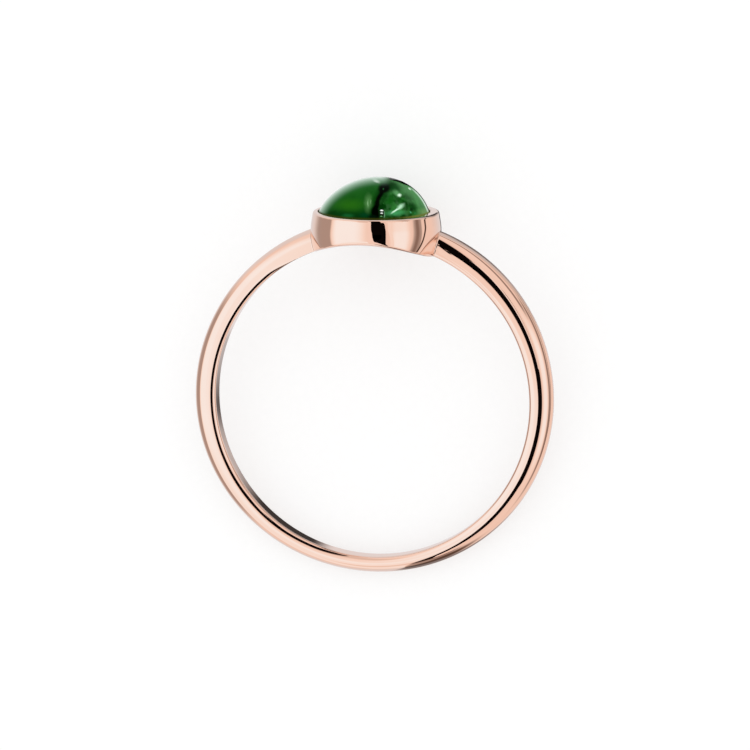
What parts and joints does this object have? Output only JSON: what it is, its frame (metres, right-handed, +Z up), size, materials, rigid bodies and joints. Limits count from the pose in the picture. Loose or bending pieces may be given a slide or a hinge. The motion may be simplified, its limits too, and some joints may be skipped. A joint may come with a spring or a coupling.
{
  "type": "tourmaline ring",
  "caption": "Slender polished rose gold ring whose round bezel holds a domed green tourmaline, lying on its side.",
  "frame": {"origin": "on the table that the ring lies on, below the middle of its box", "axes": "+Z up from the table, +Y towards the stone along the length of the ring, +X across the ring; the finger's axis stands 9.0 degrees off +Z"},
  "size_m": [0.0194, 0.0214, 0.007],
  "materials": {
    "rose_gold": "18 carat rose gold, mirror polished",
    "tourmaline": "polished translucent green stone"
  },
  "bodies": {
    "root": {"setting": "rose_gold", "cabochon": "tourmaline"}
  },
  "joints": []
}
